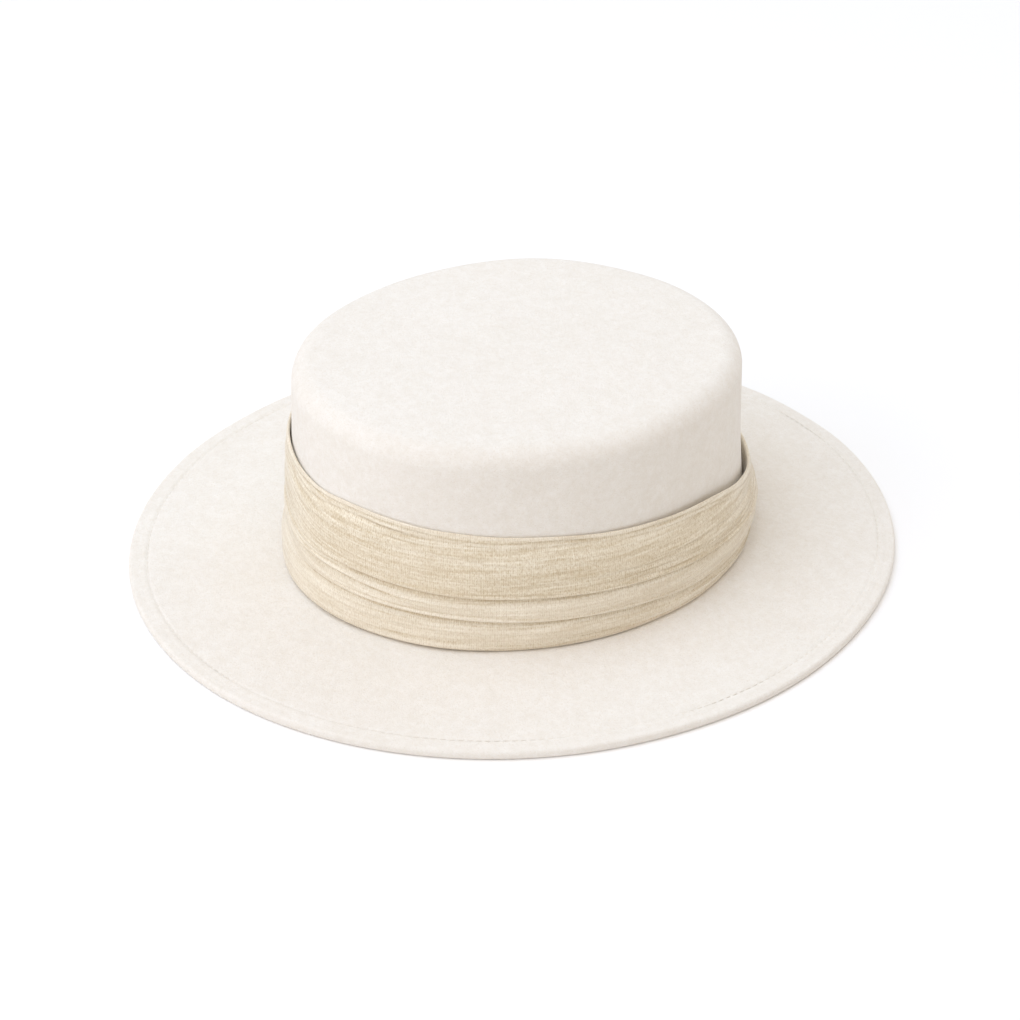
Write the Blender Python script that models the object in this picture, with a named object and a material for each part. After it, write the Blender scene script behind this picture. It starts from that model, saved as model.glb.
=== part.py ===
"""Wool felt boater hat with a pleated cloth band round its crown.

Metres, +Z up. The hat stands on its brim: the origin is on the resting plane under
the middle of the brim, -Y is the wearer's front and +X the wearer's left.
"""
import math

import bmesh
import bpy

# Crown, outside of the felt where it meets the brim
CROWN_WIDTH = 0.1740
CROWN_LENGTH = 0.2000
# From the resting plane to the edge of the flat tip
CROWN_HEIGHT = 0.0914
# How far the wall leans in on its way up
CROWN_TAPER = 0.0048
SHOULDER_RADIUS = 0.0090
TIP_DOME = 0.0010
# The crown stands this far behind the middle of the brim
CROWN_SETBACK = 0.0010

FELT = 0.0022
BRIM_WIDTH = 0.0662
BRIM_FILLET = 0.0020
# The brim's edge is turned under into a flat hem, held by a line of stitches in a groove
HEM_WIDTH = 0.0075
HEM_PLY = 0.0016
RIM_RADIUS = 0.0015
GROOVE_DEPTH = 0.0005
GROOVE_WIDTH = 0.0016

# Cloth band: its tallest height, its deepest pleat and its folded top edge
BAND_HEIGHT = 0.0620
PLEAT_DEPTH = 0.0065
BAND_EDGE = 0.0012
# Air between the cloth and the felt
CLEARANCE = 0.0003

SIDES = 96
SHOULDER_STEPS = 5
FILLET_STEPS = 3
RIM_STEPS = 4

FELT_COLOUR = (0.86, 0.82, 0.76, 1.0)
CLOTH_COLOUR = (0.73, 0.64, 0.48, 1.0)

# A row for each section of the band: the angle in degrees round the crown, from the wearer's
# left towards the back, then heights as shares of BAND_HEIGHT and depths as shares of PLEAT_DEPTH
BAND_COLUMNS = (
    "angle", "top", "upper_edge", "middle_edge", "top_out", "fold_out", "lip_out", "belly_out",
)
BAND_SECTIONS = (
    (0, 0.755, 0.325, 0.180, 0.28, 0.47, 0.66, 0.57),
    (30, 0.680, 0.265, 0.125, 0.38, 0.54, 0.80, 0.56),
    (60, 0.500, 0.240, 0.110, 0.55, 0.62, 1.00, 0.66),
    (90, 0.490, 0.230, 0.110, 0.55, 0.63, 0.95, 0.72),
    (120, 0.540, 0.245, 0.130, 0.49, 0.60, 0.80, 0.72),
    (150, 0.640, 0.290, 0.160, 0.37, 0.56, 0.66, 0.68),
    (180, 0.750, 0.350, 0.200, 0.31, 0.54, 0.56, 0.62),
    (210, 0.860, 0.400, 0.240, 0.30, 0.52, 0.47, 0.58),
    (240, 0.920, 0.420, 0.255, 0.29, 0.50, 0.40, 0.55),
    (270, 0.868, 0.405, 0.265, 0.28, 0.47, 0.44, 0.54),
    (300, 0.868, 0.430, 0.262, 0.28, 0.47, 0.53, 0.60),
    (330, 0.825, 0.397, 0.230, 0.28, 0.45, 0.58, 0.60),
)

BRIM_TOP = FELT + HEM_PLY
WALL_TOP = CROWN_HEIGHT - SHOULDER_RADIUS


def clear_scene():
    """Removes every object, so that the script gives the same result each time."""
    for old in list(bpy.data.objects):
        bpy.data.objects.remove(old, do_unlink=True)


def make_material(name, colour, roughness):
    """A plain Principled material."""
    material = bpy.data.materials.new(name)
    material.use_nodes = True
    shader = material.node_tree.nodes["Principled BSDF"]
    shader.inputs["Base Color"].default_value = colour
    shader.inputs["Roughness"].default_value = roughness
    shader.inputs["Metallic"].default_value = 0.0
    return material


def oval_point(angle, outwards, height, share=0.0):
    """A point of the crown's oval moved outwards along its normal.

    share is 0 on the crown and 1 at the rim, whose middle lies in front of the crown's.
    """
    half_width = CROWN_WIDTH / 2
    half_length = CROWN_LENGTH / 2
    normal_x = math.cos(angle) / half_width
    normal_y = math.sin(angle) / half_length
    norm = math.hypot(normal_x, normal_y)
    x = half_width * math.cos(angle) + outwards * normal_x / norm
    y = half_length * math.sin(angle) + outwards * normal_y / norm
    return (x, y + CROWN_SETBACK * (1.0 - share), height)


def angles():
    """The angles of the stations round the hat."""
    return [2 * math.pi * k / SIDES for k in range(SIDES)]


def ring(outwards, height, share=0.0):
    """A closed ring of points round the hat."""
    return [oval_point(angle, outwards, height, share) for angle in angles()]


def tip_ring(edge, scale, height):
    """The ring at the tip's edge drawn in towards the middle of the tip."""
    return [(x * scale, CROWN_SETBACK + (y - CROWN_SETBACK) * scale, height) for x, y, _ in edge]


def arc(steps):
    """Sine and cosine of equal steps through a right angle, both ends included."""
    return [(math.sin(math.pi / 2 * k / steps), math.cos(math.pi / 2 * k / steps)) for k in range(steps + 1)]


def wall_lean(height):
    """How far the crown's wall has leaned in at a height."""
    return -CROWN_TAPER * min(max(height - BRIM_TOP, 0.0) / (WALL_TOP - BRIM_TOP), 1.0)


def loft(name, rings, poles, material, collection):
    """Skins a list of rings into one closed body.

    With poles, the first and last rings are closed by a fan round a middle point.
    Without, the last ring joins the first.
    """
    mesh = bpy.data.meshes.new(name)
    bm = bmesh.new()
    loops = [[bm.verts.new(point) for point in points] for points in rings]
    pairs = list(zip(loops, loops[1:]))
    if not poles:
        pairs.append((loops[-1], loops[0]))
    for lower, upper in pairs:
        for k in range(SIDES):
            n = (k + 1) % SIDES
            bm.faces.new((lower[k], upper[k], upper[n], lower[n]))
    if poles:
        for loop, pole in ((loops[0], poles[0]), (loops[-1], poles[1])):
            centre = bm.verts.new(pole)
            for k in range(SIDES):
                bm.faces.new((loop[k], loop[(k + 1) % SIDES], centre))
    bmesh.ops.recalc_face_normals(bm, faces=bm.faces)
    bmesh.ops.triangulate(bm, faces=bm.faces)
    bm.to_mesh(mesh)
    bm.free()
    mesh.shade_smooth()
    mesh.set_sharp_from_angle(angle=math.radians(50))
    mesh.materials.append(material)
    body = bpy.data.objects.new(name, mesh)
    collection.objects.link(body)
    return body


def crown_outside():
    """Rings from the middle of the tip over the shoulder and down the wall."""
    edge = ring(-CROWN_TAPER - SHOULDER_RADIUS, CROWN_HEIGHT)
    rings = []
    for scale in (0.35, 0.7):
        rings.append(tip_ring(edge, scale, CROWN_HEIGHT + TIP_DOME * (1.0 - scale ** 2)))
    for rise, run in arc(SHOULDER_STEPS):
        outwards = -CROWN_TAPER - SHOULDER_RADIUS * (1.0 - rise)
        rings.append(ring(outwards, WALL_TOP + SHOULDER_RADIUS * run))
    middle = (WALL_TOP + BRIM_TOP) / 2
    rings.append(ring(wall_lean(middle), middle))
    return rings


def brim_outside():
    """Rings from the foot of the crown across the brim and round the rim to the resting plane."""
    rings = []
    for rise, run in arc(FILLET_STEPS):
        height = BRIM_TOP + BRIM_FILLET * (1.0 - rise)
        rings.append(ring(BRIM_FILLET * (1.0 - run) + wall_lean(height), height))
    rings.append(ring(BRIM_WIDTH / 2, BRIM_TOP, 0.5))
    groove = BRIM_WIDTH - HEM_WIDTH
    share = groove / BRIM_WIDTH
    rings.append(ring(groove - GROOVE_WIDTH / 2, BRIM_TOP, share))
    rings.append(ring(groove, BRIM_TOP - GROOVE_DEPTH, share))
    rings.append(ring(groove + GROOVE_WIDTH / 2, BRIM_TOP, share))
    for rise, run in arc(RIM_STEPS):
        outwards = BRIM_WIDTH - RIM_RADIUS * (1.0 - rise)
        rings.append(ring(outwards, BRIM_TOP - RIM_RADIUS * (1.0 - run), 1.0))
    for rise, run in arc(RIM_STEPS):
        outwards = BRIM_WIDTH - RIM_RADIUS * (1.0 - run)
        rings.append(ring(outwards, RIM_RADIUS * (1.0 - rise), 1.0))
    return rings


def felt_inside():
    """Rings from the hem's underside back across the brim and up inside the crown."""
    inner = BRIM_WIDTH - HEM_WIDTH
    share = inner / BRIM_WIDTH
    rings = [
        ring(inner, 0.0, share),
        ring(inner - HEM_PLY / 2, HEM_PLY, share),
        ring(BRIM_WIDTH / 2, HEM_PLY, 0.5),
    ]
    turn = BRIM_FILLET + FELT
    for rise, run in arc(FILLET_STEPS):
        height = HEM_PLY + turn * (1.0 - run)
        rings.append(ring(-FELT + turn * (1.0 - rise) + wall_lean(height), height))
    middle = (WALL_TOP + BRIM_TOP) / 2
    rings.append(ring(wall_lean(middle) - FELT, middle))
    radius = SHOULDER_RADIUS - FELT
    for rise, run in arc(SHOULDER_STEPS):
        outwards = -CROWN_TAPER - FELT - radius * (1.0 - run)
        rings.append(ring(outwards, WALL_TOP + radius * rise))
    edge = ring(-CROWN_TAPER - SHOULDER_RADIUS, CROWN_HEIGHT - FELT)
    for scale in (0.7, 0.35):
        rings.append(tip_ring(edge, scale, CROWN_HEIGHT - FELT + TIP_DOME * (1.0 - scale ** 2)))
    return rings


def make_felt(material, collection):
    """Crown and brim, blocked from one piece of felt and open below for the head."""
    rings = crown_outside() + brim_outside() + felt_inside()
    poles = ((0.0, CROWN_SETBACK, CROWN_HEIGHT + TIP_DOME), (0.0, CROWN_SETBACK, CROWN_HEIGHT + TIP_DOME - FELT))
    return loft("felt_crown_and_brim", rings, poles, material, collection)


def band_row(angle):
    """The band's section at an angle: the table's rows joined by a smooth closed curve."""
    count = len(BAND_SECTIONS)
    place = math.degrees(angle) % 360.0 / 360.0 * count
    start = int(place)
    t = place - start
    before, here, after, beyond = (BAND_SECTIONS[(start + k) % count] for k in (-1, 0, 1, 2))
    row = {}
    for column, name in enumerate(BAND_COLUMNS[1:], start=1):
        a, b, c, d = before[column], here[column], after[column], beyond[column]
        cubic = (-a + 3 * b - 3 * c + d) * t ** 3 + (2 * a - 5 * b + 4 * c - d) * t ** 2 + (c - a) * t
        row[name] = b + cubic / 2
    return row


def band_profile(angle):
    """(height above the band's foot, depth outside the crown) round one section of the band."""
    row = band_row(angle)
    top = row["top"] * BAND_HEIGHT
    upper = row["upper_edge"] * BAND_HEIGHT
    middle = row["middle_edge"] * BAND_HEIGHT
    edge = row["top_out"] * PLEAT_DEPTH
    fold = row["fold_out"] * PLEAT_DEPTH
    lip = row["lip_out"] * PLEAT_DEPTH
    belly = row["belly_out"] * PLEAT_DEPTH
    standing = max(edge - BAND_EDGE, CLEARANCE)
    outside = [
        (0.0, 0.80 * belly),
        (0.40 * middle, belly),
        (0.80 * middle, 0.90 * belly),
        (0.96 * middle, 0.66 * belly),
        (middle, 0.94 * belly),
        (middle + 0.45 * (upper - middle), 0.52 * (belly + lip)),
        (middle + 0.85 * (upper - middle), 0.84 * lip),
        (middle + 0.97 * (upper - middle), 0.68 * lip),
        (upper, lip),
        (upper + 0.35 * (top - upper), 0.50 * (lip + fold)),
        (upper + 0.75 * (top - upper), fold),
        (top - BAND_EDGE, edge),
        (top - 0.3 * BAND_EDGE, edge - 0.25 * BAND_EDGE),
    ]
    inside = [
        (top - 0.3 * BAND_EDGE, standing + 0.25 * BAND_EDGE),
        (top - BAND_EDGE, standing),
        (upper + 0.65 * (top - upper), (standing + CLEARANCE) / 2),
        (upper + 0.20 * (top - upper), CLEARANCE),
        (BRIM_FILLET, CLEARANCE),
        (0.0, BRIM_FILLET + CLEARANCE),
    ]
    return outside + inside


def make_band(material, collection):
    """The pleated cloth band, a closed ring wound round the foot of the crown."""
    foot = BRIM_TOP + CLEARANCE
    sections = [band_profile(angle) for angle in angles()]
    rings = []
    for k in range(len(sections[0])):
        points = []
        for angle, section in zip(angles(), sections):
            height, depth = section[k]
            points.append(oval_point(angle, depth + wall_lean(foot + height), foot + height))
        rings.append(points)
    return loft("pleated_band", rings, None, material, collection)


def main():
    """Builds the hat."""
    clear_scene()
    collection = bpy.data.collections.new("wool_felt_hat")
    bpy.context.scene.collection.children.link(collection)
    make_felt(make_material("wool_felt", FELT_COLOUR, 0.95), collection)
    make_band(make_material("band_cloth", CLOTH_COLOUR, 0.7), collection)


main()
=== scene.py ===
"""Ivory wool felt boater with a pleated cloth band: its looks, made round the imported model.

Every new surface is a function of two parameters worked out as whole arrays. The hat's frame is
metres, +Z up, -Y the wearer's front and +X the wearer's left, standing on its brim at z = 0.
"""

import math

import bpy
import numpy as np
from mathutils import Matrix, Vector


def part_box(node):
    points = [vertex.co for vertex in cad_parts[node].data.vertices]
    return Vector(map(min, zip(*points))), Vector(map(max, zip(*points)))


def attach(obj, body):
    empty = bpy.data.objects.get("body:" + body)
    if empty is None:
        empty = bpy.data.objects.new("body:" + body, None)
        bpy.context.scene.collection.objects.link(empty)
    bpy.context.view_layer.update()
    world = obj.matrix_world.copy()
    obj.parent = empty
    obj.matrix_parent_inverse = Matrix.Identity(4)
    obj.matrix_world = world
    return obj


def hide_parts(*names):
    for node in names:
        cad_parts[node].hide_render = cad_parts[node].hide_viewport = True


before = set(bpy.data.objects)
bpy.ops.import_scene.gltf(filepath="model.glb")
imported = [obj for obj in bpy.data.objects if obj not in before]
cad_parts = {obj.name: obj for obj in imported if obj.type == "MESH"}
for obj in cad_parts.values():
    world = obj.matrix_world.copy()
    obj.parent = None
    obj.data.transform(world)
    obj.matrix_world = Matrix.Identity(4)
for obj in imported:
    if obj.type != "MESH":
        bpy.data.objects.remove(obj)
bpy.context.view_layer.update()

FELT_NODE = "felt_crown_and_brim"
BAND_NODE = "pleated_band"
FELT_LOW, FELT_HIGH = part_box(FELT_NODE)

# Felt body, with the sizes that its solid has
BRIM_WIDTH = 0.0662
CROWN_HALF_WIDTH = FELT_HIGH[0] - BRIM_WIDTH
CROWN_HALF_LENGTH = FELT_HIGH[1] - BRIM_WIDTH
TIP_DOME = 0.0010
CROWN_HEIGHT = FELT_HIGH[2] - TIP_DOME
CROWN_TAPER = 0.0048
CROWN_SETBACK = 0.0010
SHOULDER_RADIUS = 0.0090
FELT = 0.0022
HEM_PLY = 0.0016
HEM_WIDTH = 0.0075
RIM_RADIUS = 0.0015
BRIM_FILLET = 0.0020
HEM_EDGE = 0.0004
BRIM_TOP = FELT + HEM_PLY
WALL_TOP = CROWN_HEIGHT - SHOULDER_RADIUS
FELT_COLUMNS = 448

# The groove that the hem's stitches pull in the brim: its depth and width, and the shares of the
# depth that dip below the brim and swell above it beside the dip
GROOVE_DEPTH = 0.0005
GROOVE_WIDTH = 0.0016
GROOVE_DIP = 0.7
GROOVE_SWELL = 0.3

# Unevenness left by hand, as soft waves: how much in metres, their length in metres, and their seed
WAVE_COUNT = 14
WALL_WAVES = (0.0005, 0.07, 11)
RIM_WAVES = (0.0003, 0.09, 12)
BRIM_WAVES = (0.00025, 0.06, 13)
BAND_WAVES = (0.00025, 0.05, 21)
BAND_CREST_WAVES = (0.0003, 0.03, 22)
WALL_WAVES_RISE = 0.03

# Where hand blocking left the crown's upper edge fuller or flatter: degrees, width, metres.
# The swells begin at a height, grow over a rise, and act by a share out and up.
CROWN_SWELLS = (
    (107, 28, -0.0014),
    (160, 20, 0.0009),
    (229, 18, 0.0011),
)
SWELL_BEGINS = 0.060
SWELL_RISE = 0.028
SWELL_SHARE = 0.7

# Band
BAND_COLUMNS_ROUND = 480
SEAM_ANGLE = math.radians(150)
CLEARANCE = 0.0003
BAND_FOOT = BRIM_TOP + CLEARANCE
BAND_HEIGHT = 0.0620
PLEAT_DEPTH = 0.0065
BAND_EDGE = 0.0012
CLOTH_ON_FELT = 0.00004
FOLD_DEPTH = 0.0017
FOLD_OVERLAP = 0.0019

# The rounded foot of the band: heights in metres with the shares of the belly's depth that they
# stand out, and the two points where its underside turns in to the felt, as height and depth
FOOT_TOP = 0.0024
FOOT_TURN = ((0.0, 0.56), (0.0005, 0.68), (0.0013, 0.86), (FOOT_TOP, 0.97))
FOOT_INSIDE = ((0.0006, 0.0009), (0.0, 0.0015))

# Angles in degrees, with how softly they end, where the band is drawn in above its middle fold and
# where its top edge is rolled fuller
WAIST_SPAN = (236, 256, 34.0)
WAIST_DEPTH = 0.0013
WAIST_WIDTH = 0.0050
FULL_ROLL_SPAN = (52, 110, 26.0)
FULL_ROLL = 0.7

# One overlapping fold from below its line to above it: metres from the line where the cloth lies
# flat, and where it folds, shares of FOLD_OVERLAP upwards and of FOLD_DEPTH inwards
FLAT_STEPS = np.array((-2.4, -1.6, -1.0, -0.5, -0.1, 0.5)) / 1000
FOLD_RISE = np.array((-1.5, 0.55, 1.0, 0.5, 0.0, 0.40))
FOLD_INWARDS = np.array((-0.30, -1.0, -0.78, -0.50, -0.08, 0.22))

# Stitches of the hem
STITCH_PITCH = 0.0034
STITCH_LENGTH = 0.0024
STITCH_RINGS = 7
STITCH_SIDES = 6
THREAD_RADIUS = 0.00022
THREAD_PROUD = 0.00006

# A row for each section of the band: the angle in degrees round the crown, from the wearer's left
# towards the back, the heights of its top and of the lower edges of its upper, side and middle folds
# as shares of BAND_HEIGHT, and how far its parts stand out as shares of PLEAT_DEPTH
BAND_COLUMNS = (
    "angle", "top", "upper_edge", "side_edge", "middle_edge",
    "top_out", "fold_out", "lip_out", "belly_out",
)
BAND_SECTIONS = np.array((
    (0, 0.759, 0.370, 0.275, 0.190, 0.250, 0.47, 0.66, 0.57),
    (30, 0.694, 0.312, 0.220, 0.122, 0.480, 0.56, 0.80, 0.56),
    (60, 0.507, 0.255, 0.165, 0.085, 0.640, 0.66, 0.98, 0.64),
    (90, 0.490, 0.205, 0.140, 0.080, 0.600, 0.64, 0.95, 0.72),
    (120, 0.540, 0.220, 0.160, 0.100, 0.500, 0.60, 0.80, 0.72),
    (150, 0.640, 0.270, 0.210, 0.150, 0.370, 0.56, 0.66, 0.68),
    (180, 0.750, 0.350, 0.280, 0.200, 0.300, 0.54, 0.56, 0.62),
    (210, 0.860, 0.420, 0.355, 0.240, 0.290, 0.50, 0.45, 0.58),
    (240, 0.920, 0.470, 0.400, 0.255, 0.300, 0.46, 0.40, 0.54),
    (270, 0.865, 0.455, 0.385, 0.265, 0.240, 0.45, 0.43, 0.52),
    (300, 0.872, 0.432, 0.362, 0.262, 0.195, 0.46, 0.53, 0.62),
    (330, 0.825, 0.397, 0.315, 0.230, 0.190, 0.45, 0.58, 0.62),
))

# How strongly each main fold overlaps the one below, as (degrees, strength) joined smoothly
FOLD_STRENGTH = {
    "upper_edge": ((-84, 0.0), (-62, 0.7), (-40, 1.0), (45, 1.0), (75, 0.8), (170, 0.7), (205, 0.0)),
    "side_edge": ((-175, 0.0), (-140, 0.5), (-96, 0.45), (-80, 1.0), (-66, 0.9), (-47, 0.0)),
    "middle_edge": ((-92, 0.0), (-74, 0.9), (-50, 1.0), (38, 1.0), (60, 0.6), (205, 0.6), (245, 0.0)),
}

# Small tucks: the line each one follows, how far above it in metres, how deep, how wide, and the
# angles between which it shows
SMALL_TUCKS = (
    ("top", -0.0017, 0.00042, 0.0007, -120, 80),
    ("top", -0.0037, 0.00026, 0.0009, -60, 50),
    ("top", -0.0040, 0.00035, 0.0015, -125, -58),
    ("top", -0.0068, 0.00028, 0.0018, -118, -48),
    ("top", -0.0105, 0.00022, 0.0022, -100, -30),
    ("upper_edge", 0.0013, 0.00022, 0.0007, -30, 58),
    ("upper_edge", 0.0028, 0.00030, 0.0009, 2, 66),
    ("upper_edge", 0.0046, 0.00034, 0.0012, 8, 72),
    ("upper_edge", 0.0068, 0.00030, 0.0014, 0, 75),
    ("upper_edge", 0.0098, 0.00045, 0.0028, 18, 82),
    ("upper_edge", -0.0016, 0.00018, 0.0008, -58, -10),
    ("side_edge", 0.0022, 0.00026, 0.0010, -84, -50),
    ("middle_edge", 0.0018, 0.00016, 0.0008, -78, 10),
    ("middle_edge", -0.0028, 0.00022, 0.0009, -70, 30),
    ("foot", 0.0042, 0.00050, 0.0013, -60, -8),
    ("foot", 0.0024, 0.00025, 0.0008, -20, 40),
)
TUCK_STEP = 0.00025

# Long soft ripples of the cloth: how many up the band, how deep, how they drift and their phase
RIPPLES = ((9, 0.00012, 1, 0.4), (16, 0.00010, 2, 2.1), (26, 0.00006, 3, 4.0))

# Painted shade and highlight of the folds, 1 for the painted shade in the deepest crease and -1
# for the brightest painted highlight, each with its distance in metres below the fold's line or the
# top edge, and its width
# Painted shade in each fold's crease, fading down the slope below it
CREASE_BELOW, CREASE_WIDTH = 0.0009, 0.00042
SLOPE_SHADE, SLOPE_LENGTH = 0.16, 0.0016
# Painted highlight on each fold's lip, just above its line
LIP_HIGHLIGHT, LIP_HIGHLIGHT_BELOW, LIP_HIGHLIGHT_WIDTH = 0.45, -0.0002, 0.00055
# Painted shade just below each small tuck
TUCK_SHADE, TUCK_BELOW, TUCK_WIDTH, TUCK_FULL_DEPTH = 0.55, 0.00030, 0.00034, 0.00040
# Painted light making the lower folds, which face down, paler
LOWER_FOLDS_PAINTED_LIGHT = 0.55
# Painted highlights along the band's rolled top edge and on a line a little below it
CREST_HIGHLIGHT, CREST_BELOW, CREST_WIDTH = 0.60, 0.0006, 0.0009
SECOND_LINE_HIGHLIGHT, SECOND_LINE_BELOW, SECOND_LINE_WIDTH = 0.45, 0.0031, 0.0006
SECOND_LINE_SPAN = (-95, 45)
# Painted shade over the whole inside face of the band
INSIDE_SHADE = 0.35

# Yarns of the band's cloth
WEFT_PITCH = 0.00140
WARP_PITCH = 0.00088

# Colours, linear with alpha
FELT_DEEP, FELT_PALE = (0.842, 0.804, 0.742, 1), (0.905, 0.880, 0.836, 1)
FELT_FLECK = (0.80, 0.745, 0.665, 1)
CLOTH_DEEP, CLOTH_PALE = (0.66, 0.555, 0.385, 1), (0.965, 0.905, 0.765, 1)
CLOTH_CLOUD = (0.80, 0.70, 0.54, 1)
CLOTH_GAPS = (0.48, 0.36, 0.21, 1)
# Painted shade for the folds' creases, and painted highlight for the fold lips and the top edge
CLOTH_PAINTED_CREASE_SHADE, CLOTH_PAINTED_HIGHLIGHT = (0.34, 0.235, 0.12, 1), (0.97, 0.91, 0.80, 1)
THREAD_DEEP, THREAD_PALE = (0.80, 0.755, 0.69, 1), (0.92, 0.89, 0.83, 1)
FLOOR_DEEP, FLOOR_PALE = (0.965, 0.965, 0.965, 1), (0.975, 0.975, 0.975, 1)
SURROUND_COLOUR, SURROUND_STRENGTH = (1.0, 0.92, 0.84, 1.0), 0.60
FLOOR_REACH = 8.0

# The photograph's camera: angles in degrees, distance from the origin in metres, and in pixels of
# its 1020 x 1020 frame the focal length and the place of the hat's origin
PHOTO_SIDE = 1020
VIEW_AZIMUTH = 61.9
VIEW_ELEVATION = 33.28
VIEW_ROLL = 0.6
VIEW_DISTANCE = 1.033
FOCAL_PIXELS = 2395.8
ORIGIN_PIXEL = (515.35, 533.4)
SENSOR = 36.0

# Lamps: name, direction from the hat as shares along the view's level, towards the camera and up,
# distance and side in metres, power in watts, and colour
LAMP_AIM = (0.0, 0.0, 0.04)
LAMPS = (
    ("key", (-0.5, 0.2, 1.0), 2.2, 2.4, 30.0, (0.635, 0.80, 1.0)),
    ("overhead", (0.0, 0.1, 1.0), 2.2, 1.6, 7.6, (1.0, 0.77, 0.58)),
    ("back", (0.6, -0.9, 1.0), 2.2, 1.6, 8.8, (0.50, 0.745, 1.0)),
    ("side", (-0.8, 0.5, 0.35), 2.4, 1.6, 9.0, (1.0, 0.82, 0.72)),
    ("rim", (0.9, -0.2, 0.4), 2.4, 1.6, 2.4, (1.0, 0.72, 0.46)),
)


def smooth(x):
    """Smoothstep: 3x^2 - 2x^3 between 0 and 1."""
    x = np.clip(x, 0.0, 1.0)
    return x * x * (3.0 - 2.0 * x)


def bell(distance, centre, width):
    """A bell curve: exp(-((distance - centre) / width)^2)."""
    return np.exp(-((distance - centre) / width) ** 2)


def waves(points, amount, wavelength, seed):
    """Soft unevenness: a sum of plane sine waves of about one length, in random directions."""
    rng = np.random.default_rng(seed)
    directions = rng.normal(size=(WAVE_COUNT, 3))
    directions /= np.linalg.norm(directions, axis=1, keepdims=True)
    lengths = wavelength * rng.uniform(0.7, 1.4, WAVE_COUNT)
    phases = rng.uniform(0, 2 * np.pi, WAVE_COUNT)
    turns = np.tensordot(points, (directions / lengths[:, None]).T, axes=1) * 2 * np.pi + phases
    return amount * (np.sin(turns).sum(axis=-1) / math.sqrt(WAVE_COUNT))


def oval(angle, outwards, height, share=0.0):
    """The crown's oval (a cos t, b sin t) moved outwards along its normal, at a height.

    share is 0 on the crown and 1 at the rim, whose middle lies in front of the crown's.
    """
    normal_x = np.cos(angle) / CROWN_HALF_WIDTH
    normal_y = np.sin(angle) / CROWN_HALF_LENGTH
    norm = np.hypot(normal_x, normal_y)
    x = CROWN_HALF_WIDTH * np.cos(angle) + outwards * normal_x / norm
    y = CROWN_HALF_LENGTH * np.sin(angle) + outwards * normal_y / norm
    y = y + CROWN_SETBACK * (1.0 - share)
    return np.stack(np.broadcast_arrays(x, y, height), axis=-1)


def wall_lean(height):
    """How far the crown's wall has leaned in at a height."""
    return -CROWN_TAPER * np.clip((height - BRIM_TOP) / (WALL_TOP - BRIM_TOP), 0.0, 1.0)


def wall_give(angle, height):
    """How far the hand-blocked wall bulges out at an angle and a height above the brim."""
    rise = smooth((height - BRIM_TOP) / WALL_WAVES_RISE)
    return waves(oval(angle, 0.0, height), *WALL_WAVES) * rise


def edge_give(angle):
    """How far the crown's upper edge bulges at each angle: a sum of bells round the crown."""
    give = np.zeros_like(angle)
    for centre, width, amount in CROWN_SWELLS:
        apart = (np.degrees(angle) - centre + 180.0) % 360.0 - 180.0
        give = give + amount * bell(apart, 0.0, width)
    return give


def grid_mesh(name, points, wrap_rows, close_ends=False, uv=None):
    """A mesh of a grid of points [row, column, xyz] whose columns run round the hat.

    wrap_rows joins the last row to the first. close_ends fans the first and last rows to their
    middles. uv gives (u, v) at each corner of the grid, with one more column than the points.
    """
    rows, columns = points.shape[:2]
    index = np.arange(rows * columns).reshape(rows, columns)
    lower = index if wrap_rows else index[:-1]
    upper = np.roll(index, -1, axis=0) if wrap_rows else index[1:]
    quads = np.stack([lower, upper, np.roll(upper, -1, axis=1), np.roll(lower, -1, axis=1)], axis=-1)
    flat = points.reshape(-1, 3)
    faces = quads.reshape(-1, 4).tolist()
    if close_ends:
        flat = np.concatenate([flat, points[0].mean(axis=0)[None], points[-1].mean(axis=0)[None]])
        first, last = index[0], index[-1]
        start = np.full(columns, rows * columns)
        end = start + 1
        faces += np.stack([start, first, np.roll(first, -1)], axis=-1).tolist()
        faces += np.stack([end, np.roll(last, -1), last], axis=-1).tolist()
    mesh = bpy.data.meshes.new(name)
    mesh.from_pydata(flat.tolist(), [], faces)
    mesh.update()
    mesh.shade_smooth()
    if uv is not None:
        corner = np.arange(len(lower))
        step = np.stack([corner, corner + 1, corner + 1, corner], axis=-1)
        side = np.arange(columns)
        across = np.stack([side, side, side + 1, side + 1], axis=-1)
        loops = uv[step[:, None, :], across[None, :, :]]
        layer = mesh.uv_layers.new(name="cloth")
        layer.data.foreach_set("uv", loops.reshape(-1).astype(np.float32))
    return mesh


def add_piece(name, mesh, material, node=None):
    """Links a finished mesh, gives it its material and lets it ride on the hat's one body."""
    piece = bpy.data.objects.new(name, mesh)
    bpy.context.scene.collection.objects.link(piece)
    mesh.materials.append(material)
    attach(piece, "root")
    if node:
        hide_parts(node)
    return piece


def stretch(start, end, count):
    """Equal steps from start towards end, without the end."""
    return np.linspace(start, end, count, endpoint=False)


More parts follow.
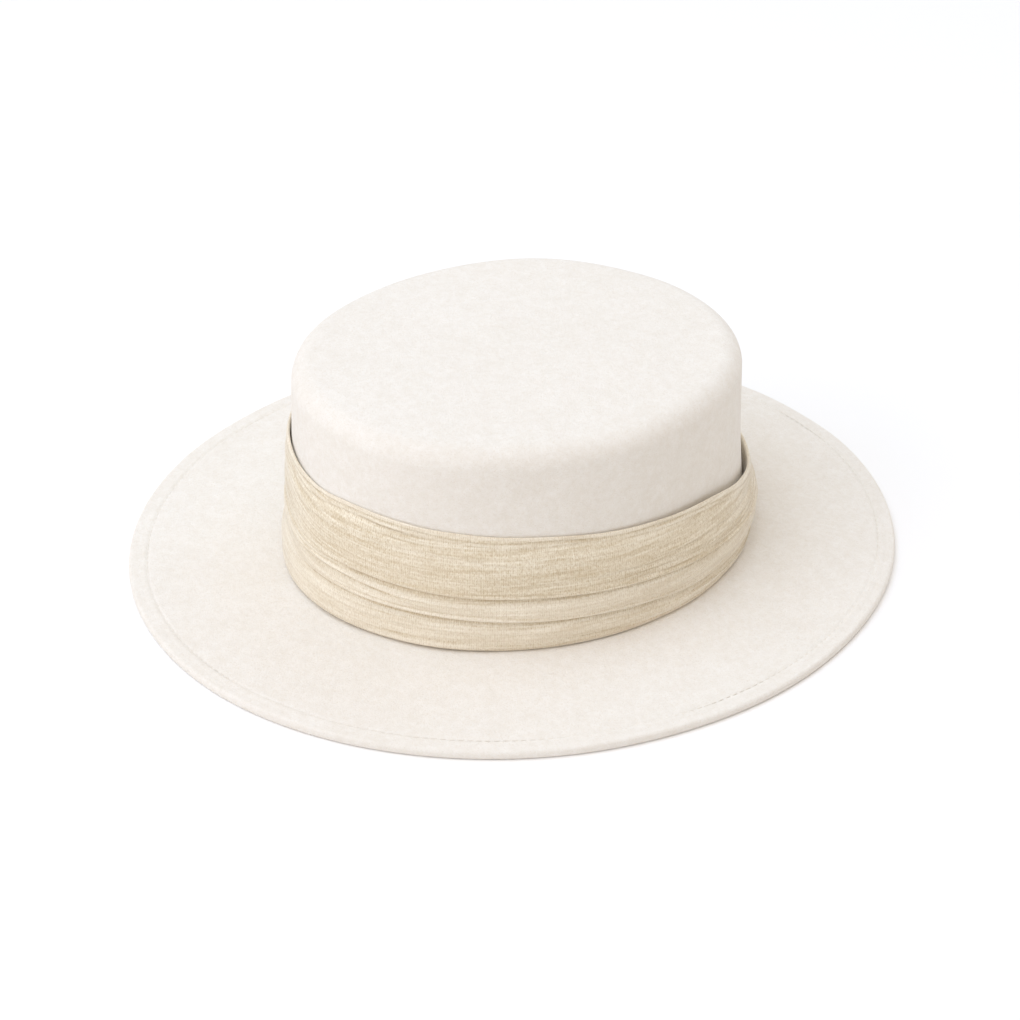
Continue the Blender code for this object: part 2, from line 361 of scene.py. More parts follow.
def felt_profile():
    """The section of the felt from the middle of the tip, over the outside and back up inside.

    Rows of (scale of the ring, outwards, height, share of the way to the rim). On the tip the ring
    at its edge is scaled in; elsewhere the scale is 1.
    """
    tip_out = -CROWN_TAPER - SHOULDER_RADIUS
    rows = []

    def add(scale, outwards, height, share=0.0):
        rows.append(np.stack(np.broadcast_arrays(scale, outwards, height, share), axis=-1))

    s = stretch(0.03, 1.0, 26)
    add(s, tip_out, CROWN_HEIGHT + TIP_DOME * (1.0 - s ** 2))
    t = stretch(0.0, np.pi / 2, 14)
    add(1.0, tip_out + SHOULDER_RADIUS * np.sin(t), WALL_TOP + SHOULDER_RADIUS * np.cos(t))
    z = stretch(WALL_TOP, BRIM_TOP + BRIM_FILLET, 26)
    add(1.0, wall_lean(z), z)
    t = stretch(0.0, np.pi / 2, 7)
    z = BRIM_TOP + BRIM_FILLET * (1.0 - np.sin(t))
    add(1.0, BRIM_FILLET * (1.0 - np.cos(t)) + wall_lean(z), z)
    groove = BRIM_WIDTH - HEM_WIDTH
    w = stretch(BRIM_FILLET, groove - 2 * GROOVE_WIDTH, 26)
    add(1.0, w, BRIM_TOP, w / BRIM_WIDTH)
    w = stretch(groove - 2 * GROOVE_WIDTH, groove + 2 * GROOVE_WIDTH, 16)
    dip = GROOVE_DIP * GROOVE_DEPTH * bell(w - groove, 0.0, 0.36 * GROOVE_WIDTH)
    swell = GROOVE_SWELL * GROOVE_DEPTH * bell(w - groove, 1.1 * GROOVE_WIDTH, GROOVE_WIDTH)
    add(1.0, w, BRIM_TOP - dip + swell, w / BRIM_WIDTH)
    w = stretch(groove + 2 * GROOVE_WIDTH, BRIM_WIDTH - RIM_RADIUS, 5)
    add(1.0, w, BRIM_TOP, w / BRIM_WIDTH)
    t = stretch(0.0, np.pi / 2, 6)
    add(1.0, BRIM_WIDTH - RIM_RADIUS * (1 - np.sin(t)), BRIM_TOP - RIM_RADIUS * (1 - np.cos(t)), 1.0)
    add(1.0, BRIM_WIDTH - RIM_RADIUS * (1 - np.cos(t)), RIM_RADIUS * (1 - np.sin(t)), 1.0)
    w = stretch(BRIM_WIDTH - RIM_RADIUS, groove + HEM_EDGE, 7)
    dip = GROOVE_DEPTH * bell(w - groove, GROOVE_WIDTH, 0.32 * GROOVE_WIDTH)
    add(1.0, w, dip, w / BRIM_WIDTH)
    t = stretch(0.0, 1.0, 5)
    add(1.0, groove - HEM_EDGE * smooth(t), HEM_PLY * t ** 0.7, groove / BRIM_WIDTH)
    w = stretch(groove - HEM_EDGE, BRIM_FILLET, 16)
    add(1.0, w, HEM_PLY, w / BRIM_WIDTH)
    turn = BRIM_FILLET + FELT
    t = stretch(0.0, np.pi / 2, 7)
    z = HEM_PLY + turn * (1.0 - np.cos(t))
    add(1.0, -FELT + turn * (1.0 - np.sin(t)) + wall_lean(z), z)
    z = stretch(HEM_PLY + turn, WALL_TOP, 16)
    add(1.0, wall_lean(z) - FELT, z)
    inner = SHOULDER_RADIUS - FELT
    t = stretch(0.0, np.pi / 2, 9)
    add(1.0, -CROWN_TAPER - FELT - inner * (1.0 - np.cos(t)), WALL_TOP + inner * np.sin(t))
    s = np.linspace(1.0, 0.05, 14)
    add(s, tip_out, CROWN_HEIGHT - FELT + TIP_DOME * (1.0 - s ** 2))
    return np.concatenate(rows)


def felt_surface():
    """Points of the felt body: each row of the profile carried round the oval, then made uneven.

    The crown and brim give by soft waves that leave the hem's underside flat on its plane.
    """
    profile = felt_profile()
    angle = np.linspace(0, 2 * np.pi, FELT_COLUMNS, endpoint=False)[None, :]
    scale, outwards, height, share = (profile[:, k][:, None] for k in range(4))
    points = oval(angle, outwards, height, share)
    centre = np.array([0.0, CROWN_SETBACK, 0.0])
    tip = scale < 1.0
    drawn_in = (points - centre) * np.stack([scale, scale, np.ones_like(scale)], axis=-1) + centre
    points = np.where(tip[..., None], drawn_in, points)
    heading = points - centre
    heading[..., 2] = 0.0
    heading /= np.maximum(np.linalg.norm(heading, axis=-1, keepdims=True), 1e-6)
    half_brim = 0.5 * BRIM_WIDTH
    rim_give = waves(points, *RIM_WAVES) * smooth((outwards - half_brim) / half_brim)
    swell = edge_give(angle) * smooth((points[..., 2] - SWELL_BEGINS) / SWELL_RISE)
    side_give = wall_give(angle, points[..., 2]) * scale + rim_give + SWELL_SHARE * swell * scale ** 2
    points = points + heading * side_give[..., None]
    lift = waves(points * [1, 1, 0], *BRIM_WAVES)
    upper = smooth((points[..., 2] - HEM_PLY) / 0.001)
    points[..., 2] += lift * upper + SWELL_SHARE * swell * scale ** 4
    return points


def strength_at(degrees, stations):
    """A strength at each angle in degrees: the stations joined by smoothsteps, and level beyond."""
    first = stations[0][0]
    place = (degrees - first) % 360.0 + first
    strength = np.full_like(place, stations[0][1])
    for (begin, here), (end, there) in zip(stations, stations[1:]):
        strength = strength + (there - here) * smooth((place - begin) / (end - begin))
    return strength


def between(degrees, begin, end, soft=14.0):
    """1 between two angles, falling softly to 0 outside them."""
    place = (degrees - begin + soft) % 360.0 + begin - soft
    return smooth((place - begin + soft) / soft) * (1.0 - smooth((place - end) / soft))


def band_rows(angle):
    """The band's table at each angle: its rows joined by a smooth closed cubic."""
    count = len(BAND_SECTIONS)
    place = np.degrees(angle) % 360.0 / 360.0 * count
    start = np.floor(place).astype(int)
    t = (place - start)[:, None]
    a, b, c, d = (BAND_SECTIONS[(start + k) % count, 1:] for k in (-1, 0, 1, 2))
    cubic = (-a + 3 * b - 3 * c + d) * t ** 3 + (2 * a - 5 * b + 4 * c - d) * t ** 2 + (c - a) * t
    values = b + cubic / 2
    return {name: values[:, k] for k, name in enumerate(BAND_COLUMNS[1:])}


def eased(knots, height):
    """Depth at a height: the knots (height, depth) joined by smoothsteps."""
    depth = np.broadcast_to(knots[0][1], height.shape)
    for (low, here), (high, there) in zip(knots, knots[1:]):
        depth = depth + (there - here) * smooth((height - low) / (high - low))
    return depth


def spline(controls, steps):
    """Catmull-Rom curve through control points [angle, control, 2], steps to each span."""
    padded = np.concatenate([controls[:, :1], controls, controls[:, -1:]], axis=1)
    t = (np.arange(steps) / steps)[None, None, :, None]
    a, b, c, d = (padded[:, k:k + controls.shape[1] - 1, None, :] for k in range(4))
    cubic = (-a + 3 * b - 3 * c + d) * t ** 3 + (2 * a - 5 * b + 4 * c - d) * t ** 2 + (c - a) * t
    curve = (b + cubic / 2).reshape(len(controls), -1, 2)
    return np.concatenate([curve, controls[:, -1:]], axis=1)


def band_path(angle):
    """One section of the cloth at each angle, as (height above the foot, depth outside the crown).

    It starts at the turned bottom edge, climbs fold by fold, each fold hanging over the one below in
    a flat S, turns over at the top edge and runs down inside against the felt.
    """
    row = band_rows(angle)
    degrees = np.degrees(angle)
    top, upper, side, middle = (
        row[k] * BAND_HEIGHT for k in ("top", "upper_edge", "side_edge", "middle_edge")
    )
    edge, full, lip, belly = (
        row[k] * PLEAT_DEPTH for k in ("top_out", "fold_out", "lip_out", "belly_out")
    )
    roll = BAND_EDGE * (1.0 + FULL_ROLL * between(degrees, *FULL_ROLL_SPAN))
    waist = WAIST_DEPTH * between(degrees, *WAIST_SPAN)
    knots = [
        (0.0 * top, 0.80 * belly),
        (0.40 * middle, belly),
        (middle, 0.94 * belly),
        (0.5 * (middle + upper), 0.52 * (belly + lip)),
        (upper, lip),
        (upper + 0.28 * (top - upper), 0.88 * lip + 0.12 * full),
        (upper + 0.58 * (top - upper), full),
        (top - roll, edge),
    ]
    controls = [(height + 0.0 * top, share * belly) for height, share in FOOT_TURN]

    def draw_in(height):
        return eased(knots, height) - waist * bell(height, 1.12 * middle, WAIST_WIDTH)

    def overlap(line, name):
        strength = strength_at(degrees, FOLD_STRENGTH[name])
        for level, rise, inwards in zip(FLAT_STEPS, FOLD_RISE, FOLD_INWARDS):
            height = line + level * (1 - strength) + rise * FOLD_OVERLAP * strength
            controls.append((height, draw_in(line + level) + inwards * FOLD_DEPTH * strength))

    for share in (0.5, 0.75):
        height = FOOT_TOP + share * (middle - 2 * FOOT_TOP)
        controls.append((height, draw_in(height)))
    overlap(middle, "middle_edge")
    height = middle + 0.5 * (side - 0.0020 - middle)
    controls.append((height, draw_in(height)))
    overlap(side, "side_edge")
    overlap(upper, "upper_edge")
    for share in (0.08, 0.18, 0.29, 0.41, 0.53, 0.65, 0.76, 0.86, 0.94):
        height = upper + share * (top - roll - upper)
        controls.append((height, draw_in(height)))
    controls.append((top - 0.8 * roll, edge))
    controls.append((top, edge - 0.35 * roll))
    controls.append((top - 0.1 * roll, edge - 0.8 * roll))
    standing = np.maximum(edge - roll, CLOTH_ON_FELT)
    controls.append((top - roll, standing))
    outside = len(controls)
    controls.append((0.80 * top, 0.5 * (standing + CLEARANCE)))
    controls.append((0.60 * top, CLEARANCE + 0.0 * top))
    controls.append((0.30 * top, CLEARANCE + 0.0 * top))
    for height, depth in ((BRIM_FILLET, CLEARANCE),) + FOOT_INSIDE:
        controls.append((height + 0.0 * top, depth + 0.0 * top))
    points = np.stack([np.stack(np.broadcast_arrays(*pair), axis=-1) for pair in controls], axis=1)
    outer = spline(points[:, :outside], 5)
    return outer, points[:, outside:]


def tuck_wander(angle, above):
    """How far a small tuck strays up or down from its line at each angle."""
    turn = angle[:, None]
    return 0.0005 * np.sin(5 * turn + 3000 * above) + 0.0003 * np.sin(11 * turn + 900 * above)


def pleat_relief(angle, height):
    """Small folds on the cloth: long soft ripples, and tucks that follow the main lines.

    A ripple is a sharpened sine of the height as a share of the band, drifting slowly round the
    crown. A tuck is a step in at its line that comes back out below it as exp(-distance / width).
    """
    row = band_rows(angle)
    degrees = np.degrees(angle)
    turn = angle[:, None]
    names = ("top", "upper_edge", "side_edge", "middle_edge")
    lines = {name: row[name][:, None] * BAND_HEIGHT for name in names}
    lines["foot"] = np.zeros_like(turn)
    share = height / lines["top"]
    relief = np.zeros_like(height)
    for ridges, depth, drift, phase in RIPPLES:
        sway = 0.9 * np.sin(drift * turn + phase) + 0.5 * np.sin((drift + 2) * turn + 2 * phase)
        wave = np.sin(2 * np.pi * ridges * share + sway)
        strength = 0.55 + 0.45 * np.sin((drift + 1) * turn + 3 * share * np.pi + phase)
        relief += depth * strength * (1.0 - 2.0 * np.abs(wave) ** 0.8)
    for name, above, depth, width, begin, end in SMALL_TUCKS:
        below = lines[name] + above + tuck_wander(angle, above) - height
        strength = between(degrees, begin, end)[:, None]
        step = smooth(below / TUCK_STEP + 0.5) * np.exp(-np.maximum(below, 0.0) / width)
        relief -= depth * strength * step
    return relief


def fold_shade(angle, height):
    """Painted shade of the folds, up to 1 in their creases, and below 0, down to -1, painted highlight.

    Under each main line the painted shade is the larger of a bell and a fading slope, and above the
    line a bell of painted highlight is taken off, both times how strongly the fold overlaps there.
    Each small tuck adds a bell of painted shade. The cloth below the upper fold is paler, painted
    light for lower folds that face down, and a flat-topped strip along the band's top edge and a
    bell a little below that strip are painted highlights.
    """
    row = band_rows(angle)
    degrees = np.degrees(angle)
    shade = np.zeros_like(height)
    for name, stations in FOLD_STRENGTH.items():
        below = row[name][:, None] * BAND_HEIGHT - height
        strength = strength_at(degrees, stations)[:, None]
        crease = bell(below, CREASE_BELOW, CREASE_WIDTH)
        slope = SLOPE_SHADE * np.exp(-np.maximum(below - CREASE_BELOW, 0.0) / SLOPE_LENGTH)
        # Painted shade in the crease under the line, and painted highlight on the lip above it
        shade += strength * smooth(below / 0.0006) * np.maximum(crease, slope)
        shade -= LIP_HIGHLIGHT * strength * bell(below, LIP_HIGHLIGHT_BELOW, LIP_HIGHLIGHT_WIDTH)
    for name, above, depth, _, begin, end in SMALL_TUCKS:
        line = row[name][:, None] * BAND_HEIGHT if name in row else 0.0
        below = line + above + tuck_wander(angle, above) - height
        strength = between(degrees, begin, end)[:, None] * min(1.0, depth / TUCK_FULL_DEPTH)
        # Painted shade under the tuck
        shade += TUCK_SHADE * strength * bell(below, TUCK_BELOW, TUCK_WIDTH)
    # Painted light: the cloth below the upper fold is made paler
    under = smooth((row["upper_edge"][:, None] * BAND_HEIGHT - height) / 0.0012 - 0.5)
    shade -= LOWER_FOLDS_PAINTED_LIGHT * under * (1.0 - np.clip(shade, 0.0, 1.0))
    # Painted highlights along the rolled top edge and on a line a little below it
    crest = row["top"][:, None] * BAND_HEIGHT - height
    shade -= CREST_HIGHLIGHT * np.exp(-((crest - CREST_BELOW) / CREST_WIDTH) ** 4)
    second_line = bell(crest, SECOND_LINE_BELOW, SECOND_LINE_WIDTH)
    shade -= SECOND_LINE_HIGHLIGHT * second_line * between(degrees, *SECOND_LINE_SPAN)[:, None]
    return np.clip(shade, -1.0, 1.0)


def softened(values, degrees_wide):
    """Values on a closed round, averaged over neighbouring angles by a bell of a width in degrees."""
    count = len(values)
    turn = np.fft.fftfreq(count) * count
    bell = np.exp(-0.5 * (turn * math.radians(degrees_wide)) ** 2)
    return np.fft.ifft(np.fft.fft(values, axis=0) * bell[:, None], axis=0).real


def band_surface():
    """Points of the band, their places on the flat cloth in metres along and across it, the painted
    shade and painted highlight of its folds and the cloth's length round the crown.
    """
    angle = SEAM_ANGLE - np.linspace(0, 2 * np.pi, BAND_COLUMNS_ROUND, endpoint=False)
    outer, inner = band_path(angle)
    top = band_rows(angle)["top"][:, None] * BAND_HEIGHT
    height, depth = outer[..., 0], outer[..., 1]
    steps_from_end = np.minimum(np.arange(height.shape[1]), np.arange(height.shape[1])[::-1])
    fade = smooth(steps_from_end / 10.0)[None, :]
    relief = pleat_relief(angle, height) * fade
    sag = waves(oval(angle[:, None], 0.0, height * 4), *BAND_WAVES) * fade
    depth = np.maximum(depth + relief + sag, CLOTH_ON_FELT)
    path = np.concatenate([np.stack([height, depth], axis=-1), inner], axis=1)
    height, depth = path[..., 0], path[..., 1]
    shade = fold_shade(angle, height)
    # The band's inside face gets a flat painted shade
    shade[:, outer.shape[1]:] = INSIDE_SHADE
    crest = waves(oval(angle, 0.0, 0.0), *BAND_CREST_WAVES)[:, None] * (height / top) ** 2
    z = BAND_FOOT + height + crest
    points = oval(angle[:, None], depth + wall_lean(z) + wall_give(angle[:, None], z), z)
    closed = np.concatenate([oval(angle, 0.0, 0.0), oval(angle[:1], 0.0, 0.0)])
    along = np.concatenate([[0.0], np.cumsum(np.linalg.norm(np.diff(closed, axis=0), axis=-1))])
    steps = np.linalg.norm(np.diff(path, axis=1, append=path[:, :1]), axis=-1)
    across = np.concatenate([np.zeros((len(angle), 1)), np.cumsum(softened(steps, 14.0), axis=1)], axis=1)
    across = np.concatenate([across, across[:1]], axis=0)
    uv = np.stack(np.broadcast_arrays(along[:, None], across), axis=-1)
    return points.transpose(1, 0, 2), uv.transpose(1, 0, 2), shade.T, along[-1]


def hem_stitches(outwards, height, share):
    """Short threads laid end to end round the hem: capsules carried along the oval.

    Each is a ring of points round a bent axis, sqrt(1 - s^2) thick along its length.
    """
    fine = np.linspace(0, 2 * np.pi, 4001)
    line = oval(fine, outwards, height, share)
    length = np.concatenate([[0.0], np.cumsum(np.linalg.norm(np.diff(line, axis=0), axis=1))])
    count = int(length[-1] / STITCH_PITCH)
    starts = np.arange(count) * length[-1] / count
    s = np.linspace(-1, 1, STITCH_RINGS)
    place = starts[:, None] + s * STITCH_LENGTH / 2
    angle = np.interp(place % length[-1], length, fine)
    axis = oval(angle, outwards, height, share)
    radius = THREAD_RADIUS * np.sqrt(np.maximum(1.0 - s ** 2, 0.02))
    turn = np.linspace(0, 2 * np.pi, STITCH_SIDES + 1)[:-1]
    heading = oval(angle, outwards + 1.0, height, share) - axis
    heading /= np.linalg.norm(heading, axis=-1, keepdims=True)
    side = heading[:, :, None, :] * np.cos(turn)[:, None]
    up = np.array([0.0, 0.0, 1.0]) * np.sin(turn)[:, None]
    sunk = np.array([0.0, 0.0, 1.0]) * (0.5 * (1 - s ** 2) - 0.35)[:, None] * THREAD_RADIUS
    rings = axis[:, :, None, :] + sunk[None, :, None, :] + radius[None, :, None, None] * (side + up)
    base = np.arange(STITCH_RINGS * STITCH_SIDES).reshape(STITCH_RINGS, STITCH_SIDES)
    quads = np.stack([base[:-1], base[1:], np.roll(base[1:], -1, 1), np.roll(base[:-1], -1, 1)], -1)
    offsets = np.arange(count)[:, None, None] * STITCH_RINGS * STITCH_SIDES
    faces = (quads.reshape(-1, 4)[None] + offsets).reshape(-1, 4).tolist()
    start_caps = (base[0][None] + offsets[:, 0]).tolist()
    end_caps = (base[-1][::-1][None] + offsets[:, 0]).tolist()
    mesh = bpy.data.meshes.new("hem_stitches")
    mesh.from_pydata(rings.reshape(-1, 3).tolist(), [], faces + start_caps + end_caps)
    mesh.update()
    mesh.shade_smooth()
    return mesh


class Nodes:
    """Short calls for building one material's node tree."""

    def __init__(self, name):
        self.material = bpy.data.materials.new(name)
        self.material.use_nodes = True
        self.tree = self.material.node_tree
        self.shader = self.tree.nodes["Principled BSDF"]

    def add(self, kind, inputs=None, **settings):
        """A node with its settings, and inputs by name or number as values or links."""
        node = self.tree.nodes.new(kind)
        for name, value in settings.items():
            setattr(node, name, value)
        for key, value in (inputs or {}).items():
            self.put(node.inputs[key], value)
        return node

    def put(self, socket, value):
        """Sets a socket, or links another node's output to it."""
        if isinstance(value, bpy.types.NodeSocket):
            self.tree.links.new(value, socket)
        else:
            socket.default_value = value

    def math(self, operation, first, second=0.0):
        """The output of a Math node."""
        return self.add("ShaderNodeMath", {0: first, 1: second}, operation=operation).outputs[0]

    def scaled(self, vector, scale):
        """A vector stretched by a different factor along each axis."""
        node = self.add("ShaderNodeVectorMath", {0: vector, 1: scale}, operation="MULTIPLY")
        return node.outputs[0]

    def noise(self, vector, scale, detail=3.0, roughness=0.5):
        """The value of a Noise Texture, about 0.5 on average."""
        inputs = {"Vector": vector, "Scale": scale, "Detail": detail, "Roughness": roughness}
        return self.add("ShaderNodeTexNoise", inputs).outputs["Fac"]

    def spread(self, value, low, high, to_low=0.0, to_high=1.0):
        """A value carried from one range to another and held inside it."""
        ranges = {"From Min": low, "From Max": high, "To Min": to_low, "To Max": to_high}
        return self.add("ShaderNodeMapRange", {"Value": value, **ranges}).outputs[0]

    def mix(self, factor, first, second):
        """A colour between two colours."""
        node = self.add("ShaderNodeMix", data_type="RGBA")
        self.put(node.inputs[0], factor)
        self.put(node.inputs[6], first)
        self.put(node.inputs[7], second)
        return node.outputs[2]

    def bump(self, height, distance, strength):
        """A Bump node's normal."""
        inputs = {"Height": height, "Distance": distance, "Strength": strength}
        return self.add("ShaderNodeBump", inputs).outputs["Normal"]

    def finish(self, **sockets):
        """Sets the shader's own sockets by name, with underscores for spaces."""
        for name, value in sockets.items():
            self.put(self.shader.inputs[name.replace("_", " ")], value)
        return self.material


def wool_felt():
    """Ivory wool felt: matted fibres, a faint mottle and a soft nap."""
    n = Nodes("ivory_wool_felt")
    place = n.add("ShaderNodeTexCoord").outputs["Object"]
    grain = n.noise(place, 420.0, 4.0, 0.7)
    fibres = n.noise(n.scaled(place, (1.0, 1.0, 1.7)), 1500.0, 4.0, 0.65)
    mottle = n.noise(place, 150.0, 3.0, 0.6)
    cloud = n.noise(place, 16.0, 2.0)
    tone = n.math("ADD", n.math("MULTIPLY", grain, 0.55), n.math("MULTIPLY", mottle, 0.30))
    tone = n.math("ADD", tone, n.math("MULTIPLY", cloud, 0.15))
    colour = n.mix(n.spread(tone, 0.38, 0.62), FELT_DEEP, FELT_PALE)
    flecks = n.spread(fibres, 0.30, 0.46)
    colour = n.mix(flecks, FELT_FLECK, colour)
    nap = n.math("ADD", n.math("MULTIPLY", grain, 1.3), fibres)
    rough = n.bump(nap, 0.0007, 0.42)
    return n.finish(
        Base_Color=colour, Roughness=0.95, Normal=rough, Sheen_Weight=0.2, Sheen_Roughness=0.6,
        Sheen_Tint=(1.0, 0.97, 0.93, 1.0), Specular_IOR_Level=0.15,
    )


def band_cloth(length):
    """Champagne slub cloth: irregular yarns along the band crossed by finer upright threads.

    The cloth's length is bent into a ring (r cos t, r sin t, v), and the noises are read on it, so
    the pattern closes on itself. The yarns are sines of the place along and across the cloth.
    """
    n = Nodes("champagne_slub_cloth")
    place = n.add("ShaderNodeUVMap", uv_map="cloth").outputs["UV"]
    axes = n.add("ShaderNodeSeparateXYZ", {0: place})
    u, v = axes.outputs[0], axes.outputs[1]
    turn = n.math("MULTIPLY", u, 2 * math.pi / length)
    reach = length / (2 * math.pi)
    ring_x = n.math("MULTIPLY", n.math("COSINE", turn), reach)
    ring_y = n.math("MULTIPLY", n.math("SINE", turn), reach)
    ring = n.add("ShaderNodeCombineXYZ", {0: ring_x, 1: ring_y, 2: v}).outputs[0]

    def yarn_noise(along, across, detail=2.0, roughness=0.5):
        """Noise stretched along the yarns, by its scales along and across the cloth."""
        return n.noise(n.scaled(ring, (along, along, across)), 1.0, detail, roughness)

    wander = yarn_noise(26.0, 240.0)
    v_bent = n.math("ADD", v, n.math("MULTIPLY", wander, 0.0022))
    weft = n.math("SINE", n.math("MULTIPLY", v_bent, 2 * math.pi / WEFT_PITCH))
    jitter = yarn_noise(300.0, 60.0, 1.0)
    u_bent = n.math("ADD", u, n.math("MULTIPLY", jitter, 0.0010))
    warp_turns = 2 * math.pi * round(length / WARP_PITCH) / length
    warp = n.math("SINE", n.math("MULTIPLY", u_bent, warp_turns))
    slub = yarn_noise(50.0, 850.0, 3.0, 0.65)
    streak = yarn_noise(9.0, 430.0, 3.0, 0.6)
    warp_tone = yarn_noise(1500.0, 900.0, 2.0, 0.6)
    cloud = yarn_noise(22.0, 60.0)
    tone = n.math("ADD", n.math("MULTIPLY", slub, 0.40), n.math("MULTIPLY", streak, 0.26))
    tone = n.math("ADD", tone, n.math("MULTIPLY", warp_tone, 0.34))
    colour = n.mix(n.spread(tone, 0.40, 0.60), CLOTH_DEEP, CLOTH_PALE)
    colour = n.mix(n.spread(cloud, 0.35, 0.65, 0.0, 0.22), colour, CLOTH_CLOUD)
    crossing = n.math("MULTIPLY", weft, warp)
    weft_gaps = n.spread(weft, -1.0, 0.1, 1.0, 0.40)
    warp_gaps = n.spread(warp, -1.0, 0.1, 1.0, 0.0)
    gaps = n.math("MULTIPLY", weft_gaps, warp_gaps)
    gaps = n.math("MULTIPLY", gaps, n.spread(warp_tone, 0.38, 0.56, 0.75, 0.20))
    colour = n.mix(gaps, colour, CLOTH_GAPS)
    # Painted shade in the folds' creases, under the tucks and on the band's inside, and painted
    # highlights on the fold lips and along the top edge, all from the fold_shade attribute
    shade = n.add("ShaderNodeAttribute", attribute_name="fold_shade").outputs["Fac"]
    colour = n.mix(n.spread(shade, 0.0, 1.0, 0.0, 0.42), colour, CLOTH_PAINTED_CREASE_SHADE)
    colour = n.mix(n.spread(shade, -1.0, 0.0, 0.60, 0.0), colour, CLOTH_PAINTED_HIGHLIGHT)
    yarns = n.math("ADD", n.math("MULTIPLY", crossing, 0.22), n.math("MULTIPLY", weft, 0.16))
    yarns = n.math("ADD", yarns, n.math("MULTIPLY", warp, 0.14))
    height = n.math("ADD", yarns, n.math("MULTIPLY", n.math("ADD", slub, warp_tone), 0.7))
    normal = n.bump(height, 0.00022, 0.75)
    return n.finish(
        Base_Color=colour, Roughness=0.58, Normal=normal, Sheen_Weight=0.45, Sheen_Roughness=0.35,
        Sheen_Tint=(1.0, 1.0, 1.0, 1.0), Specular_IOR_Level=0.45,
    )


def stitch_thread():
    """Off-white sewing thread, twisted."""
    n = Nodes("hem_thread")
    place = n.add("ShaderNodeTexCoord").outputs["Object"]
    twist = n.noise(place, 2600.0, 2.0)
    colour = n.mix(twist, THREAD_DEEP, THREAD_PALE)
    return n.finish(Base_Color=colour, Roughness=0.7, Normal=n.bump(twist, 0.0001, 0.6))


def studio_floor():
    """A wide pale floor and its finish."""
    n = Nodes("studio_floor")
    place = n.add("ShaderNodeTexCoord").outputs["Object"]
    colour = n.mix(n.noise(place, 3.0, 2.0), FLOOR_DEEP, FLOOR_PALE)
    material = n.finish(Base_Color=colour, Roughness=0.9)
    mesh = bpy.data.meshes.new("floor")
    corners = FLOOR_REACH * np.array([(-1, -1, 0), (1, -1, 0), (1, 1, 0), (-1, 1, 0)])
    mesh.from_pydata(corners.tolist(), [], [(0, 1, 2, 3)])
    mesh.materials.append(material)
    floor = bpy.data.objects.new("floor", mesh)
    bpy.context.scene.collection.objects.link(floor)


def photo_axes():
    """The camera's right, up and back directions in the hat's frame."""
    azimuth, elevation, roll = (math.radians(a) for a in (VIEW_AZIMUTH, VIEW_ELEVATION, VIEW_ROLL))
    flat = math.cos(elevation)
    back = np.array([math.sin(azimuth) * flat, -math.cos(azimuth) * flat, math.sin(elevation)])
    level = np.array([math.cos(azimuth), math.sin(azimuth), 0.0])
    upright = np.cross(back, level)
    right = level * math.cos(roll) + upright * math.sin(roll)
    up = -level * math.sin(roll) + upright * math.cos(roll)
    return right, up, back


def place_camera():
    """Sets up the photograph's camera."""
    right, up, back = photo_axes()
    camera = bpy.data.cameras.new("photo_camera")
    camera.sensor_width = SENSOR
    camera.lens = FOCAL_PIXELS * SENSOR / PHOTO_SIDE
    camera.shift_x = (PHOTO_SIDE / 2 - ORIGIN_PIXEL[0]) / PHOTO_SIDE
    camera.shift_y = (ORIGIN_PIXEL[1] - PHOTO_SIDE / 2) / PHOTO_SIDE
    camera.clip_start = 0.01
    holder = bpy.data.objects.new("photo_camera", camera)
    matrix = np.eye(4)
    matrix[:3, 0], matrix[:3, 1], matrix[:3, 2] = right, up, back
    matrix[:3, 3] = back * VIEW_DISTANCE
    holder.matrix_world = Matrix(matrix.tolist())
    bpy.context.scene.collection.objects.link(holder)
    bpy.context.scene.camera = holder


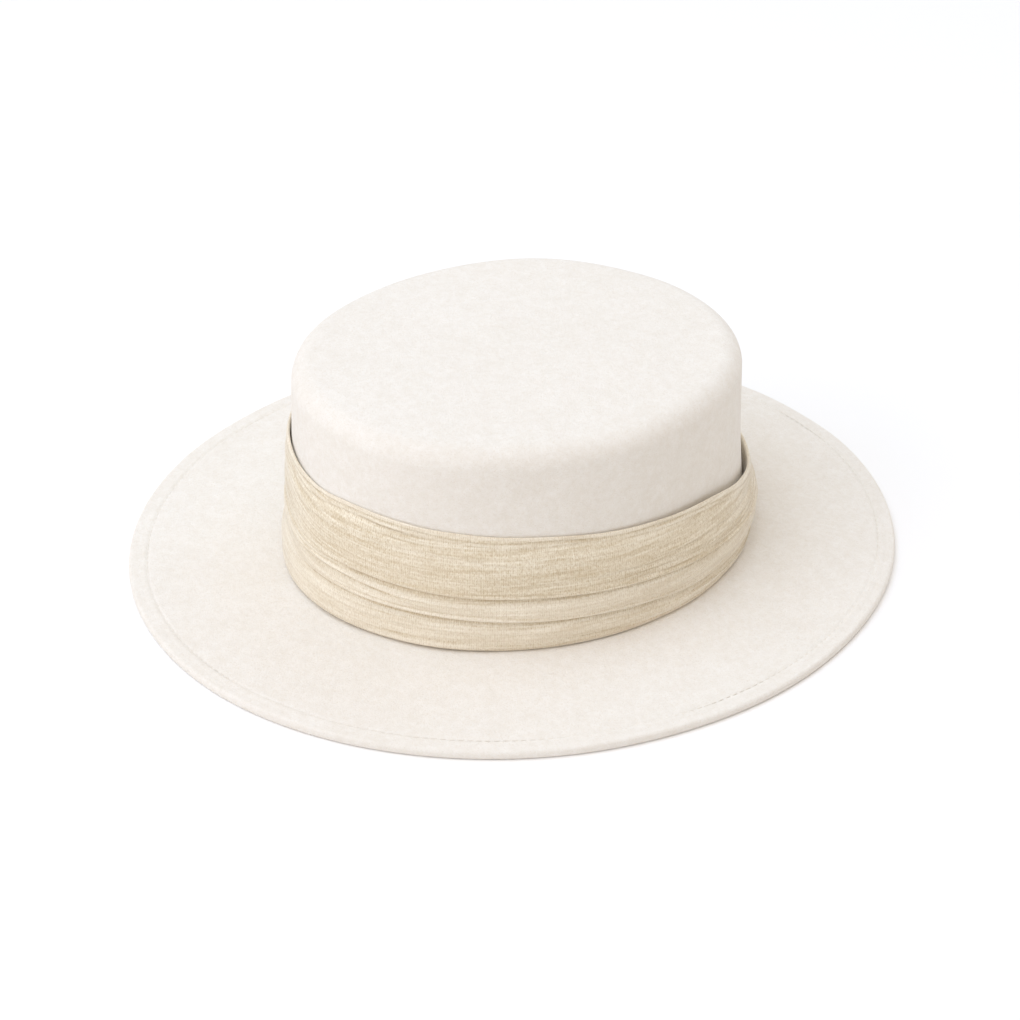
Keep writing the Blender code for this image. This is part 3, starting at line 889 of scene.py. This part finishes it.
def area_light(name, towards, distance, side, power, colour):
    """A square lamp that shines at the hat from a direction."""
    light = bpy.data.lights.new(name, "AREA")
    light.shape = "SQUARE"
    light.size = side
    light.energy = power
    light.color = colour
    holder = bpy.data.objects.new(name, light)
    towards = np.array(towards, float) / np.linalg.norm(towards)
    spot = np.array(LAMP_AIM) + towards * distance
    across = np.cross([0.0, 0.0, 1.0], towards)
    across /= np.linalg.norm(across)
    matrix = np.eye(4)
    matrix[:3, 0], matrix[:3, 1], matrix[:3, 2] = across, np.cross(towards, across), towards
    matrix[:3, 3] = spot
    holder.matrix_world = Matrix(matrix.tolist())
    bpy.context.scene.collection.objects.link(holder)


def light_studio():
    """Broad cool key and back lamps, warm overhead, side and rim lamps, and a faintly warm surround.

    The key stands high to the left of the view, and the side and rim lamps are low.
    """
    azimuth = math.radians(VIEW_AZIMUTH)
    level = np.array([math.cos(azimuth), math.sin(azimuth), 0.0])
    ahead = np.array([level[1], -level[0], 0.0])
    above = np.array([0.0, 0.0, 1.0])
    for name, (across, forward, upward), distance, side, power, colour in LAMPS:
        towards = across * level + forward * ahead + upward * above
        area_light(name, towards, distance, side, power, colour)
    world = bpy.data.worlds.new("pale_surround")
    world.use_nodes = True
    surround = world.node_tree.nodes["Background"]
    surround.inputs["Color"].default_value = SURROUND_COLOUR
    surround.inputs["Strength"].default_value = SURROUND_STRENGTH
    bpy.context.scene.world = world
    bpy.context.scene.view_settings.view_transform = "Standard"


def make_hat():
    """The felt body, the hem's row of stitches and the band."""
    felt = wool_felt()
    body = grid_mesh("felt_body", felt_surface(), wrap_rows=False, close_ends=True)
    add_piece("felt_body", body, felt, FELT_NODE)
    thread = stitch_thread()
    groove = BRIM_WIDTH - HEM_WIDTH
    share = groove / BRIM_WIDTH
    height = BRIM_TOP - GROOVE_DIP * GROOVE_DEPTH + THREAD_PROUD
    add_piece("hem_stitches", hem_stitches(groove, height, share), thread)
    points, uv, shade, length = band_surface()
    cloth = grid_mesh("draped_band", points, wrap_rows=True, uv=uv)
    # Painted shade and painted highlight of the folds, kept on the cloth's points
    layer = cloth.attributes.new("fold_shade", "FLOAT", "POINT")
    layer.data.foreach_set("value", shade.reshape(-1).astype(np.float32))
    band = add_piece("draped_band", cloth, band_cloth(length), BAND_NODE)


make_hat()
studio_floor()
place_camera()
light_studio()
